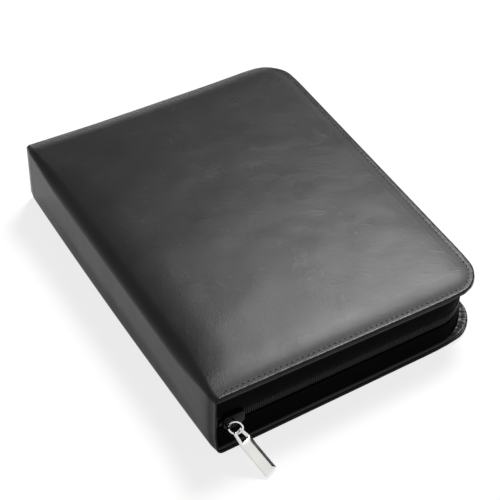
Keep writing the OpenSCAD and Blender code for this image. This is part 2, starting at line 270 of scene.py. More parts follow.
# %% [markdown]
# ## Laying out a cover
# Both covers are one shape, mirrored in the plane of the zip. Everything is drawn for the back
# cover, with x measured in from the spine's outer face, y along the spine and z up from the outer
# face, and is then moved to its place. The covers lean towards each other, because the case is
# thicker at the spine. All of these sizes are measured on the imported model, which gives the lean as
# the slope of the zip's slide.

# %% Measure the case and find the two places
def span(node, axis):
    """The lowest and the highest coordinate of a node along an axis, in mm."""
    values = [v.co[axis] / mm for v in frame["nodes"][node].data.vertices]
    return min(values), max(values)

slide = next(joint for joint in frame["joints"] if joint["name"] == "zip_slide")
slope = -slide["axis"][2]
fore_edge = span("back_leather", 0)[1]
case_w = round(2 * fore_edge, 1)                    # the frame's origin is the middle of the cover
half_len = round(span("back_leather", 1)[1], 1)
straight = [v.co.y / mm for v in frame["nodes"]["back_leather"].data.vertices
            if v.co.x / mm > fore_edge - 0.01]
corner_r = round(half_len - max(straight), 1)
corner_x, corner_y = case_w - corner_r, half_len - corner_r
fore_h = round((span("front_leather", 0)[1] - fore_edge) / slope, 1)
spine_h = round(fore_h + 2 * case_w * slope, 1)

lean = math.asin((spine_h - fore_h) / (2 * case_w))
across = Vector((math.sin(lean), 0, math.cos(lean)))            # straight up out of the zip's plane
middle = Vector((spine_h / 2 * mm * math.sin(lean), 0, spine_h / 2 * mm * math.cos(lean)))
centring = Matrix.Translation((-case_w / 2 * mm, 0, 0))
flip = Matrix.Identity(4)
for i in range(3):
    for k in range(3):
        flip[i][k] -= 2 * across[i] * across[k]
flip = Matrix.Translation(middle) @ flip @ Matrix.Translation(-middle)
sides = (("back", False), ("front", True))          # a cover's name, and whether it is mirrored

def zip_height(x):
    """Height of the zip's plane above the back cover's outer face, at x mm from the spine."""
    return (middle.z - (x * mm - middle.x) * math.tan(lean)) / mm

def smooth(t):
    """A soft step from 0 to 1 while t runs from 0 to 1."""
    t = max(0.0, min(1.0, t))
    return t * t * (3 - 2 * t)

def lerp(a, b, t):
    return a + (b - a) * t

print(f"covers of {case_w} x {2 * half_len} mm with corners of {corner_r} mm, {spine_h} mm thick "
      f"at the spine and {fore_h} mm at the fore-edge, lean {math.degrees(lean):.2f} degrees each")

# %% [markdown]
# ## Working with sheets
# Leather, cloth and tape are sheets, so each starts as a grid primitive, like a piece laid out flat
# on the bench, and its corners are then carried to their places round the case. The grid's UV map
# keeps the distances along and across the sheet, in metres, so that a weave follows the cloth.

# %% Helpers for sheets and solids
def only(obj):
    bpy.ops.object.select_all(action="DESELECT")
    obj.select_set(True)
    bpy.context.view_layer.objects.active = obj

def edit(obj, *steps):
    """Runs editing steps on the whole of obj, each a function."""
    only(obj)
    bpy.ops.object.mode_set(mode="EDIT")
    bpy.ops.mesh.select_all(action="SELECT")
    for step in steps:
        step()
    bpy.ops.object.mode_set(mode="OBJECT")

def pick(obj, kind, chosen):
    """Selects the vertices or faces of obj for which chosen holds, and leaves it in edit mode."""
    bpy.ops.object.mode_set(mode="EDIT")
    bpy.ops.mesh.select_mode(type=kind)
    bpy.ops.mesh.select_all(action="DESELECT")
    bpy.ops.object.mode_set(mode="OBJECT")
    for element in obj.data.polygons if kind == "FACE" else obj.data.vertices:
        element.select = chosen(element)
    bpy.ops.object.mode_set(mode="EDIT")

def outwards(): bpy.ops.mesh.normals_make_consistent(inside=False)
def weld(): bpy.ops.mesh.remove_doubles(threshold=1e-6)

def close_ends():
    """Merges the seam of a sheet that was rolled into a tube and puts a face on each open end."""
    weld()
    bpy.ops.mesh.select_mode(type="VERT")
    bpy.ops.mesh.select_all(action="DESELECT")
    bpy.ops.mesh.select_non_manifold(extend=False, use_multi_face=False, use_non_contiguous=False,
                                     use_verts=False)
    bpy.ops.mesh.edge_face_add()
    bpy.ops.mesh.select_all(action="SELECT")
    outwards()

def lay(name, rows, columns, place, cloth):
    """A grid whose corner (i, j) is carried to place(i, j), in mm. cloth(i, j) is its UV, in mm."""
    bpy.ops.object.select_all(action="DESELECT")
    bpy.ops.mesh.primitive_grid_add(x_subdivisions=rows, y_subdivisions=columns, size=2)
    piece = bpy.context.object
    piece.name = piece.data.name = name
    cell = [(round((v.co.x + 1) / 2 * rows), round((v.co.y + 1) / 2 * columns))
            for v in piece.data.vertices]
    uv = piece.data.uv_layers.active.data
    for loop in piece.data.loops:
        uv[loop.index].uv = [c * mm for c in cloth(*cell[loop.vertex_index])]
    for vert, at in zip(piece.data.vertices, cell):
        vert.co = Vector(place(*at)) * mm
    return piece

def join(first, *others):
    only(first)
    for obj in others:
        obj.select_set(True)
    bpy.ops.object.join()
    return first

def modify(obj, kind, **settings):
    only(obj)
    modifier = obj.modifiers.new(kind.title(), kind)
    for key, value in settings.items():
        setattr(modifier, key, value)
    bpy.ops.object.modifier_apply(modifier=modifier.name)

def round_edges(obj, radius, angle, segments=2):
    """Bevels the edges that are sharper than angle, in degrees, to a radius in mm."""
    modify(obj, "BEVEL", width=radius * mm, segments=segments, limit_method="ANGLE",
           angle_limit=math.radians(angle))

def soften(obj, angle):
    only(obj)
    bpy.ops.object.shade_smooth_by_angle(angle=math.radians(angle))
    return obj

def running(points):
    """The distance along a path at each of its points."""
    run = [0.0]
    for a, b in zip(points, points[1:]):
        run.append(run[-1] + math.dist(a, b))
    return run

# %% [markdown]
# A sewn case never lies dead square. Near the covers, and never at the zip, its soft edges have
# moved by a millimetre or two: the back cover's tail edge and its fold out, the front cover's head
# edge in, and the corners in. Every sewn piece goes through the same slack, so that they stay
# together.

# %% Settle and dress a piece
soft_height = 16                                    # mm from a cover's face to where slack ends
corner_give, head_give, tail_give, fold_give = 1.5, 2.0, 3.0, 1.5       # mm

def slack(p, front):
    """Where a point of the drawing lies in a used case."""
    x, y, z = (c / mm for c in p)
    near = 1 - smooth(z / soft_height)
    if near <= 0 or x < -5:
        return p
    corner_in = corner_give * smooth((x - 150) / 30) * smooth((abs(y) - 85) / 30) * near
    x -= corner_in
    y -= math.copysign(corner_in, y)
    if front:
        along_head = math.sin(math.pi * max(0, min(1, x / case_w)))
        y -= head_give * smooth((y - 80) / 35) * along_head * near
    else:
        y -= tail_give * smooth((-y - 80) / 35) * (1 - 0.6 * smooth((x - 140) / 40)) * near
        x -= fold_give * max(0.0, 1 - (y / half_len) ** 2) * (1 - smooth(x / 30)) * near
    return Vector((x, y, z)) * mm

def settle(obj, front):
    """Moves a finished piece from the drawing of the back cover to its place in the case."""
    for v in obj.data.vertices:
        v.co = slack(v.co, front)
    obj.data.transform(centring @ (flip if front else Matrix.Identity(4)))
    if front:
        obj.data.flip_normals()
    return obj

def ready(obj, body, slot, finish, *nodes):
    """Dresses a finished piece. body is one body, or two and the two points of a bend, which are not
    used.
    """
    dress(obj, finish)
    if isinstance(body, str):
        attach(obj, body)
    else:
        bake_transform(obj)
    if nodes:
        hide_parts(*nodes)
    rides = body if isinstance(body, str) else " and ".join(body[:2])
    print(f"{obj.name}: {len(obj.data.polygons)} faces, goes with {rides}")
    return obj

print("covers to dress:", [name for name, front in sides])

# %% [markdown]
# ## The leather covers
# Each cover is a sheet of calf, glued over foam and a board and turned over at the edges. It is
# pressed flat along the sewn border and swells over the foam inside it. At the spine the same sheet
# goes on round the fold, tight where the border is sewn down and full in the middle, and up the
# spine. A profile across the cover, from edge to edge and back along the inside, is swept from the
# fore-edge to the spine and round the fold, and half of that profile is then swept round the two
# fore-edge corners.

# %% Profile of the sewn and turned edge
stitch_in, border_end = 3.5, 4.3        # mm in from the edge
skin_t, spine_skin_t = 2.6, 1.85        # mm of leather, foam and facing, on a cover and the spine
outer_steps = (corner_r, 15.6, 13.4, 11.4, 9.6, 8.1, 6.9, 6, 5.3, 4.8, 4.4, 4.1, 3.8, stitch_in,
               3.2, 2.9, 2.6, 2.2, 1.7)

def edge_profile(border, plateau, thick, groove=0.05, full=2.0, roll=0.08, over=5):
    """(distance in, depth) in mm, from the field over the turned edge to the inside. border and
    plateau are the depths of the seam and the field. The more full the padding, the more steeply
    it swells. The last of it, over so many mm, droops by roll."""
    points = []
    for d in outer_steps:
        rise = 1 - (1 - max(0.0, min(1.0, (d - border_end) / (corner_r - border_end)))) ** full
        seam = groove * math.exp(-((d - stitch_in) / 0.5) ** 2)
        droop = roll * max(0.0, (over - d) / (over - 1)) ** 2
        points.append((d, border + (plateau - border) * rise + seam + droop))
    border += roll
    depth = thick - border
    r, lip = 0.3 * depth, 0.18 * depth      # the turned leather, and the facing's edge under it
    for k in range(6):
        a = math.radians(18 * k)
        points.append((r * 1.3 * (1 - math.sin(a)), border + r * (1 - math.cos(a))))
    for a in (30, 60, 85):
        a = math.radians(a)
        points.append((r * (1 - math.cos(a)), border + r * (1 + math.sin(a))))
    points.append((r * 0.85, border + 2.1 * r))
    for a in (-60, -20, 20, 60):
        a = math.radians(a)
        points.append((0.12 * depth + lip * (1 - math.cos(a)), thick - lip + lip * math.sin(a)))
    return points + [(0.3 * depth, thick), (4.2, thick), (corner_r, thick)]

print("points in an edge's profile:", len(edge_profile(0, 0, skin_t)))

# %% [markdown]
# The two covers differ a little. The upper one has been pressed thinner along its tail seam, domes
# slightly and rolls over at its head. The lower one has lain flat on the table all its life.

# %% Profiles of a cover
def cover_profiles(front):
    """The profiles at the tail, the fore-edge, the head and the ends of the spine."""
    if front:
        border, plateau = 0.15, -0.35
        tail = edge_profile(border - 0.35, plateau, skin_t, full=1.3, roll=-0.12)
        fore = edge_profile(border - 0.2, plateau, skin_t, full=2.6)
        head = edge_profile(border - 0.3, plateau, skin_t, full=1.3, roll=1.1, over=9)
    else:
        border, plateau = 0.75, 0.0
        tail = head = edge_profile(border, plateau, skin_t, full=1.3)
        fore = edge_profile(border, plateau, skin_t, full=2.6)

    def droop(d):
        return 0.75 * max(0.0, 1 - (d - 1.5) / 6) ** 2
    spine = edge_profile(droop(1.5), droop(1.5), spine_skin_t, groove=0)
    spine = [(d, droop(d) if i < len(outer_steps) else z) for i, (d, z) in enumerate(spine)]
    return tail, fore, head, spine

tail_profile = cover_profiles(True)[0]
print(f"the front cover's field stands {-tail_profile[0][1]:.2f} mm proud")

# %% Sweep a cover's skin
opening = (math.pi / 2 - lean) / 2      # half of the angle between a cover and the spine
# In mm: the radius of the front fold where it is tight and where it is full, and of the back fold,
# then how deep the front fold sags, and how far onto the cover
tight_r, full_r, back_r = 3.2, 7.5, 5.0
fold_sag, sag_reach = 2.4, 30
field_steps, arc_steps = 26, 16         # along a straight side, and round a corner
along_side = [-corner_y + 2 * corner_y * k / field_steps for k in range(field_steps + 1)]

def fullness(y, inset):
    """The fold is tight at the sewn border and full over the foam, most of all near the tail."""
    return smooth((inset - 3) / 40) * (0.9 - 0.1 * y / half_len)

def cover_skin(name, front):
    tail_side, fore_side, head_side, on_spine = cover_profiles(front)
    dome = 0.5 if front else 0.0

    def section(f):
        """The closed profile: tail edge, outside, head edge, inside, as (y, z, distance in,
        whether it is outside). f is 0 on the cover and 1 on the spine."""
        tail, head = ([(lerp(a[0], b[0], f), lerp(a[1], b[1], f)) for a, b in zip(side, on_spine)]
                      for side in (tail_side, head_side))
        outside = len(outer_steps)
        loop = [(-(half_len - d), z, d, i < outside)
                for i, (d, z) in reversed(list(enumerate(tail)))]
        loop += [(y, tail[0][1], corner_r, True) for y in along_side[1:-1]]
        loop += [(half_len - d, z, d, i < outside) for i, (d, z) in enumerate(head)]
        loop += [(y, tail[-1][1], corner_r, False) for y in reversed(along_side[1:-1])]
        return loop + loop[:1]

    flat, bend, stand = 30, 16, 8           # steps along the cover, round the fold, up the spine
    turned = math.pi - 2 * opening
    sections = [section(smooth((i - flat + 3) / (bend + 3)))
                for i in range(flat + bend + stand + 1)]

    def swell(x, y, inset):
        """The slight dome of a padded cover, in mm."""
        over_foam = smooth((inset - border_end) / 14)
        return dome * over_foam * (1 - (2 * x / case_w - 1) ** 2) * (1 - (y / half_len) ** 2)

    def strip(i, j):
        y, z, d, outer = sections[i][j]
        full = fullness(y, half_len - abs(y))
        r = lerp(tight_r, full_r, full) if front else back_r
        sag = fold_sag * full if front and outer else 0.0
        run = r / math.tan(opening)
        if i <= flat:
            t = i / flat
            x = lerp(corner_x, run, 1 - (1 - t) ** 1.6)
            if outer:
                z -= swell(x, y, half_len - abs(y))
            return x, y, z + sag * max(0.0, 1 - x / sag_reach) ** 2.5
        sag *= lerp(max(0.0, 1 - run / sag_reach) ** 2.5, 1, smooth((i - flat) / bend))
        if i <= flat + bend:
            a = turned * (i - flat) / bend
            reach = r - z
            return run - math.sin(a) * reach, y, r - math.cos(a) * reach + sag
        s = lerp(run + sag, spine_h / 2, (i - flat - bend) / stand)
        upward = Vector((math.cos(2 * opening), 0, math.sin(2 * opening)))
        inward = Vector((math.sin(2 * opening), 0, -math.cos(2 * opening)))
        return upward * s + inward * z + Vector((0, y, 0))

    main = lay(name, flat + bend + stand, len(sections[0]) - 1, strip,
               lambda i, j: (case_w * i / flat, sections[i][j][2]))

    stations = [("tail", k) for k in range(arc_steps)]
    stations += [("fore", k) for k in range(field_steps + 1)]
    stations += [("head", k) for k in range(1, arc_steps + 1)]

    def round_the_fore_edge(i, j):
        side, k = stations[i]
        d, z = fore_side[j]
        if side == "fore":
            x, y = case_w - d, along_side[k]
        else:
            a = math.pi / 2 * k / arc_steps
            a = a if side == "tail" else math.pi / 2 - a
            end = tail_side if side == "tail" else head_side
            z = lerp(end[j][1], z, smooth(a / (math.pi / 2)))
            r = corner_r - d
            x = corner_x + r * math.sin(a)
            y = (corner_y + r * math.cos(a)) * (-1 if side == "tail" else 1)
        if j < len(outer_steps):
            z -= swell(x, y, d)
        return x, y, z

    edge = lay(name + "_edge", len(stations) - 1, len(fore_side) - 1, round_the_fore_edge,
               lambda i, j: (4 * i, fore_side[j][0]))
    skin = join(main, edge)
    edit(skin, close_ends)
    return soften(settle(skin, front), 40)

def on_back(x, z):
    """A point of the back cover's drawing, in the frame."""
    return x * mm - case_w / 2 * mm, 0, z * mm

def on_front(x, z):
    """The same point of the front cover."""
    return tuple(centring @ flip @ Vector((x * mm, 0, z * mm)))

fold_reach = 5.8                        # mm from the corner at which the leather starts to bend
back_fold = ("back_cover", "spine", on_back(fold_reach, 0), on_back(0, fold_reach))
front_fold = ("front_cover", "spine", on_front(fold_reach, 0), on_front(0, fold_reach))
back_skin = ready(cover_skin("back_skin", False), back_fold, "leather", leather, "back_leather")
front_skin = ready(cover_skin("front_skin", True), front_fold, "leather", leather,
                   "front_leather", "spine_leather")

# %% [markdown]
# ## Stitches
# The border is sewn with black thread, about 3.4 mm to a stitch. One stitch is modelled: a short
# length of thread whose two ends dive into their holes. It is then repeated round the three sewn
# edges, a little aslant, as a saddle stitch lies. The stitches of a cover are one piece.

# %% Model one stitch
def repeat(name, model, places):
    """One mesh that holds a copy of model at each of the given matrices, UV map included."""
    source, count = model.data, len(model.data.vertices)
    points, faces = [], []
    for n, place in enumerate(places):
        points += [place @ v.co for v in source.vertices]
        faces += [[n * count + v for v in p.vertices] for p in source.polygons]
    mesh = bpy.data.meshes.new(name)
    mesh.from_pydata(points, [], faces)
    flat_uv = [c for loop in source.uv_layers.active.data for c in loop.uv] * len(places)
    mesh.uv_layers.new(name="UVMap").data.foreach_set("uv", flat_uv)
    mesh.polygons.foreach_set("use_smooth", [True] * len(mesh.polygons))
    obj = bpy.data.objects.new(name, mesh)
    bpy.context.scene.collection.objects.link(obj)
    bpy.data.objects.remove(model)
    return obj

def rod(corners, radius, length):
    """A short rod along X."""
    bpy.ops.object.select_all(action="DESELECT")
    bpy.ops.mesh.primitive_cylinder_add(vertices=corners, radius=radius * mm, depth=length * mm,
                                        rotation=(0, math.pi / 2, 0))
    bpy.ops.object.transform_apply(location=False, rotation=True, scale=False)
    return bpy.context.object

def draw_out(obj, side, *steps):
    """Extrudes a rod's end that faces side, once for each (along, down, taper)."""
    for along, down, taper in steps:
        reach = max(p.center.x * side for p in obj.data.polygons)
        pick(obj, "FACE", lambda p: p.center.x * side > reach - 1e-6)
        move = (side * along * mm, 0, -down * mm)
        bpy.ops.mesh.extrude_region_move(TRANSFORM_OT_translate={"value": move})
        bpy.ops.transform.resize(value=(taper,) * 3)
        bpy.ops.object.mode_set(mode="OBJECT")

def thread_stitch():
    stitch = rod(corners=8, radius=0.42, length=0.55)
    for side in (-1, 1):
        draw_out(stitch, side, (0.22, 0.08, 0.92), (0.14, 0.35, 0.75))
    return stitch

stitch_pitch = 3.4
print("a stitch every", stitch_pitch, "mm")

# %% Sew the covers
def sewn_path(start):
    """(x, y, heading) at every stitch length, from start mm off the spine, round, and back."""
    r = corner_r - stitch_in
    tail, corner, fore = corner_x - start, math.pi / 2 * r, 2 * corner_y
    total = 2 * tail + 2 * corner + fore
    count = round(total / stitch_pitch)
    spots = []
    for k in range(count):
        s, end = (k + 0.5) * total / count, -1
        if s > total / 2:
            s, end = total - s, 1
        if s < tail:
            x, y, a = start + s, -(half_len - stitch_in), 0.0
        elif s < tail + corner:
            a = (s - tail) / r
            x, y = corner_x + r * math.sin(a), -(corner_y + r * math.cos(a))
        else:
            x, y, a = case_w - stitch_in, -corner_y + (s - tail - corner), math.pi / 2
        spots.append((x, y * -end, end * -a))
    return spots

def seam_depth(y, front):
    """How deep the thread lies. The front cover's seam is low at the head and high at the tail."""
    if not front:
        return 0.95
    return 0.15 + 0.55 * smooth((y - corner_y) / 10) - 0.15 * smooth((-y - 90) / 20)

def sew(name, front):
    aslant = math.radians(6)
    places = []
    for x, y, a in sewn_path(start=7.5):
        hole = Matrix.Translation(Vector((x, y, seam_depth(y, front))) * mm)
        heading = Matrix.Rotation(a + aslant, 4, "Z")
        places.append(hole @ heading @ Matrix.Rotation(math.pi, 4, "X"))
    return settle(repeat(name, thread_stitch(), places), front)

thread = Finish("black_thread", Roughness=0.75, Specular_IOR_Level=0.08)
ply = (thread.along("X") * 70 + thread.along("Y") * 40).sin() * 0.5 + 0.5
thread.tint(ply, (0.002, 0.002, 0.002), (0.008, 0.008, 0.0085))
thread.relief(ply, 0.00008, 0.8)
for side_name, front in sides:
    ready(sew(side_name + "_stitches", front), side_name + "_cover", "thread", thread)

# %% [markdown]
# ## The gusset
# A strip of thin black cloth stands between each cover and the zip. Its foot is turned outwards and
# sewn into the cover's border. The cover's corners are rounder at the edge than the cloth can
# follow, so the wall cuts the corner on a wider curve and the foot is gathered into small radial
# pleats there.

# %% Paths round the three open sides
wall_in, wall_corner = 1.8, 28.0
wall_reach = wall_in + wall_corner
wall_x, wall_y = case_w - wall_reach, half_len - wall_reach     # centre of the wall's corner
side_steps, corner_steps = 36, 104

def stations_from(start):
    """Stations from the tail's spine end to the head's: the side, and how far along it."""
    run = [("tail", lerp(start, wall_x, k / side_steps)) for k in range(side_steps)]
    run += [("tail corner", math.pi / 2 * k / corner_steps) for k in range(corner_steps)]
    run += [("fore", lerp(-wall_y, wall_y, k / side_steps)) for k in range(side_steps)]
    run += [("head corner", math.pi / 2 * (1 - k / corner_steps)) for k in range(corner_steps)]
    run += [("head", lerp(wall_x, start, k / side_steps)) for k in range(side_steps + 1)]
    return run

def out_of_corner(station, reach):
    """The point that lies reach mm out from the centre of the wall's corner."""
    side, t = station
    end = -1 if side == "tail corner" else 1
    return Vector((wall_x + reach * math.sin(t), (wall_y + reach * math.cos(t)) * end))

def on_wall(station, inset):
    """A point of the wall's family of curves, inset mm in from the edge."""
    side, t = station
    if side in ("tail", "head"):
        return Vector((t, (half_len - inset) * (-1 if side == "tail" else 1)))
    if side == "fore":
        return Vector((case_w - inset, t))
    return out_of_corner(station, wall_reach - inset)

def on_rim(station, inset):
    """The point of the cover's own outline that lies straight out from the same place."""
    side, t = station
    if "corner" not in side:
        return on_wall(station, inset)
    cut = corner_x - wall_x             # from the centre of the wall's corner to the cover's
    reach = []
    for outward, sideways in ((math.cos(t), math.sin(t)), (math.sin(t), math.cos(t))):
        if outward > 1e-9:
            s = (wall_reach - inset) / outward
            if s * sideways <= cut:     # it meets a straight side of the outline
                reach.append(s)
    if not reach:                       # the round part of the outline
        b = cut * (math.sin(t) + math.cos(t))
        reach.append(b + math.sqrt(b * b - 2 * cut ** 2 + (corner_r - inset) ** 2))
    return out_of_corner(station, min(reach))

def pinch(station, up_share):
    """At the corners the zip's stiff tape pulls the wall in a little, in mm."""
    if "corner" not in station[0]:
        return 0.0
    return 1.0 * math.sin(2 * station[1]) ** 2 * up_share ** 1.5

def length_along(stations):
    """Distance along the wall at each station, in mm."""
    return running([on_wall(s, wall_in) for s in stations])

zip_start = 4.4                         # mm from the spine's outer face
print("the zip runs", round(length_along(stations_from(zip_start))[-1]), "mm round the case")

# %% Gather the cloth
wall_foot, tape_show = 4.4, 5.2         # mm from the cover to the wall, and from its top to the zip
pleats = 13                             # at each corner

def pleat(station):
    """How strongly the cloth is gathered here, and where in its wave it is, from -1 to 1."""
    side, t = station
    if "corner" not in side:
        return 0.0, 0.0
    share = smooth(math.sin(2 * t) * 1.8) * (0.8 + 0.2 * math.sin(t * 23))
    wave = math.sin(t * 4 * pleats + 0.9 * math.sin(t * 11))
    return share, 1 - 2 * abs(wave) ** 0.8 if wave < 0 else 1 - 0.9 * wave

def gusset(name, front):
    foot = [(0.5, 2.66), (0.32, 3.0), (0.3, 3.5), (0.34, 3.95), (0.55, 4.2), (0.85, 4.28)]
    ledge = [0.12, 0.3, 0.5, 0.7, 0.86]         # shares of the way from the foot to the wall
    rise = [0.0, 0.06, 0.16, 0.3, 0.46, 0.62, 0.78, 0.9, 0.97, 1.0]
    inner = [(0.35, 1.02), (0.8, 1.02), (1.15, 0.99), (1.2, 0.8), (1.2, 0.4), (1.2, 0.0)]
    foot_z, ledge_z = foot[0][1], foot[-1][1]
    stations = stations_from(start=1.7)
    lengths = length_along(stations)
    outer = len(foot) + len(ledge) + len(rise)
    columns = outer + len(inner)

    def place(i, j):
        station = stations[i]
        top = zip_height(on_wall(station, wall_in).x) - tape_show
        share, wave = pleat(station)
        j = j % columns
        if j < len(foot):
            d, z = foot[j]
            spot = on_rim(station, d + 0.45 + 0.1 * share)
            z = lerp(z, foot_z + (z - foot_z) * 0.45, share) + 0.06 * share * wave * (z > 3.3)
            return spot.x, spot.y, z
        j -= len(foot)
        if j < len(ledge):
            t = ledge[j]
            spot = on_rim(station, 1.3 + 0.1 * share).lerp(on_wall(station, wall_in), t)
            z = lerp(ledge_z, lerp(3.35, ledge_z, smooth(t * 1.3)), share) + 0.1 * t
            z += share * (0.5 * wave - 0.1) * math.sin(math.pi * min(1, t * 0.9 + 0.1))
            return spot.x, spot.y, z
        j -= len(ledge)
        if j < len(rise):
            t = rise[j]
            belly = 0.35 * math.sin(math.pi * t) + share * wave * 0.55 * (1 - t) ** 2
            root = 0.5 * (1 - smooth(t / 0.1))
            spot = on_wall(station, wall_in - belly - root + pinch(station, t))
        else:
            d, t = inner[j - len(rise)]
            spot = on_wall(station, wall_in + d + pinch(station, min(1, t)))
        return spot.x, spot.y, lerp(wall_foot, top, t)

    piece = lay(name, len(stations) - 1, columns, place,
                lambda i, j: (lengths[i], 0.35 * j * (1 if j <= outer else 0.8)))
    edit(piece, close_ends)
    return soften(settle(piece, front), 50)

print("corner stations to a pleat:", corner_steps // pleats)

# %% [markdown]
# The gusset's cloth is a tight plain weave, close to black. A weave is the product of two sine
# waves, one along the cloth and one across it, half a thread apart, and dust and handling lift its
# colour a little. The foot was ironed flat before it was sewn in, which has left a sheen on it: a
# coat in the first few millimetres across the cloth.

# %% Weave the gusset's cloth
def weave(finish, threads):
    """A plain weave of so many threads to the millimetre, as a value from 0 to 1."""
    rate = threads * 1000 * math.pi
    warp, weft = ((finish.along(axis) * rate).sin() for axis in "XY")
    over = warp * weft * 0.5 + 0.5
    finish.relief(over + finish.noise(700, 2) * 0.4, 0.00006, 0.5)
    return over

nylon = Finish("gusset_cloth", Roughness=0.5, Specular_IOR_Level=0.005, Coat_Roughness=0.42)
over = weave(nylon, 2.2)
dust = nylon.noise(60, 4)
nylon.tint(over * 0.5 + dust * 0.5, (0.0015, 0.0015, 0.0016), (0.006, 0.006, 0.0063))
ironed = 1 - nylon.along("Y").step(0.0034, 0.0042)
nylon.put(nylon.shader.inputs["Coat Weight"], ironed * 0.55)
for side_name, front in sides:
    ready(gusset(side_name + "_gusset_wall", front), side_name + "_cover", "gusset_cloth", nylon,
          side_name + "_gusset")

# %% [markdown]
# ## Tape, coil and inner lining of the gusset
# These all follow the wall round the case, so one helper carries a closed cross-section along it.
# The tape is woven with a herringbone. The coil is nylon thread, bent to and fro and sewn to the
# tape, and shows as a row of short round bars. The bars of the two tapes stand half a pitch apart,
# so that their heads pass between each other along the middle.

# %% Carry a cross-section round the case
def band(name, front, section):
    """section holds (inset, height) in mm. Up to 0, a height is counted from the zip's plane, and
    above 0 from the cover."""
    stations = stations_from(zip_start)
    lengths = length_along(stations)
    around = [0.0]
    for a, b in zip(section, section[1:] + section[:1]):
        around.append(around[-1] + min(8.0, math.dist(a, b)))

    def place(i, j):
        inset, z = section[j % len(section)]
        plane = zip_height(on_wall(stations[i], inset).x)
        hangs = z <= 0                              # from the zip, not from the cover
        spot = on_wall(stations[i], inset + pinch(stations[i], 1.0 if hangs else 0.0))
        return spot.x, spot.y, plane + z if hangs else z

    piece = lay(name, len(stations) - 1, len(section), place,
                lambda i, j: (lengths[i], around[j]))
    edit(piece, close_ends)
    return soften(settle(piece, front), 50)

tape_section = [(3.1, -0.4), (3.02, -1.2), (3.02, -3.2), (3.1, -3.5), (3.1, -6), (3.1, -9.9),
                (3.65, -9.9), (3.65, -5), (3.65, -0.4)]
lining_section = [(3.8, -5.3), (3.85, -8), (3.9, 5.6), (4.3, 5.2), (4.35, 6.5), (4.35, -8),
                  (4.3, -5.3), (4.05, -5.1)]

tape = Finish("zip_tape", Roughness=0.5, Specular_IOR_Level=0.09)
zig = (tape.along("Y") * 5200).sin() * 1.2
rib = (tape.along("X") * 4400 + zig).sin() * 0.5 + 0.5
tape.relief(rib, 0.00009, 0.7)
tape.tint(rib * 0.6 + tape.noise(90, 3) * 0.4, (0.003, 0.003, 0.0032), (0.011, 0.011, 0.0115))

cloth = Finish("lining_cloth", Roughness=0.65, Specular_IOR_Level=0.3, Sheen_Weight=0.12,
               Sheen_Roughness=0.4)
over = weave(cloth, 1.8)
cloth.tint(over * 0.5 + cloth.noise(50, 3) * 0.5, (0.012, 0.012, 0.013), (0.030, 0.030, 0.032))

for side_name, front in sides:
    ready(band(side_name + "_tape", front, tape_section), side_name + "_cover", "zip_tape", tape,
          side_name + "_zip_tape")
    ready(band(side_name + "_gusset_inside", front, lining_section), side_name + "_cover",
          "lining", cloth, side_name + "_gusset_lining")

# %% Bend the coil
coil_pitch, coil_in, coil_depth = 1.27, 1.83, 1.5       # mm along, in, and below the zip's plane
coil_starts = (6.4, 19.6)               # mm from the spine: the front coil begins past the slider

def coil_bar():
    """One pass of the nylon: from its bend at the tape to the head that crosses the middle."""
    bar = rod(corners=7, radius=0.33, length=2.2)
    draw_out(bar, 1, (0.45, 0.05, 1.12), (0.25, 0.30, 0.72))
    draw_out(bar, -1, (0.28, 0.12, 0.95), (0.10, 0.55, 0.85))
    return bar

def zip_coil(name, front, start):
    spots = [on_wall(s, coil_in + pinch(s, 1)) for s in stations_from(start)]
    places, carried = [], coil_pitch * (0.5 if front else 0.0)
    for a, b in zip(spots, spots[1:]):
        run = (b - a).length
        heading = (b - a) / run
        out = Vector((heading.y, -heading.x))
        axes = Matrix(((0, -heading.x, out.x), (0, -heading.y, out.y), (1, 0, 0))).to_4x4()
        while carried < run:
            spot = a + heading * carried
            centre = Vector((spot.x, spot.y, zip_height(spot.x) - coil_depth)) * mm
            places.append(Matrix.Translation(centre) @ axes)
            carried += coil_pitch
        carried -= run
    return settle(repeat(name, coil_bar(), places), front)

nylon_coil = Finish("zip_coil", Roughness=0.38, IOR=1.5, Specular_IOR_Level=0.16)
scuff = nylon_coil.noise(600, 3)
nylon_coil.tint(scuff, (0.006, 0.006, 0.0065), (0.016, 0.016, 0.017))
nylon_coil.rough(0.32 + scuff * 0.2)
nylon_coil.relief(scuff, 0.00003, 0.4)
for (side_name, front), start in zip(sides, coil_starts):
    ready(zip_coil(side_name + "_coil", front, start), side_name + "_cover", "zip_coil",
          nylon_coil, side_name + "_zip_coil")

# %% [markdown]
# ## Slider and puller
# The slider, its bail, the ring and the tag are castings and wire. Their shapes are already right
# in the imported model, so each is a copy of its node whose loose triangles are merged into clean
# faces. The edges of the slider, the bail and the tag are then rounded with a bevel, as polishing
# would leave them, and the ring keeps its own edges. The tag's broad face is inset and raised as
# well, which frames it with four shallow slopes that each mirror a different side. The nickel is a
# little rubbed, with a haze in its shine.

# %% Polish the nickel and paint the slider
nickel = Finish("bright_nickel", Metallic=1.0, Roughness=0.2)
rub = nickel.noise(900, 3, stretch=(1, 1, 6))
haze = nickel.noise(160, 3)
nickel.tint(haze, (0.70, 0.695, 0.675), (0.84, 0.835, 0.81))
nickel.rough(0.12 + rub * 0.12 + haze * 0.10)
nickel.relief(rub, 0.000015, 0.4)

black_metal = Finish("black_slider", Roughness=0.35, Specular_IOR_Level=0.1)
chip = black_metal.noise(700, 4)
black_metal.tint(chip.step(0.6, 0.8), (0.002, 0.002, 0.0021), (0.02, 0.02, 0.021))
black_metal.rough(0.28 + chip * 0.25)
black_metal.relief(chip, 0.00002, 0.4)
print("finishes:", nickel.material.name, black_metal.material.name)

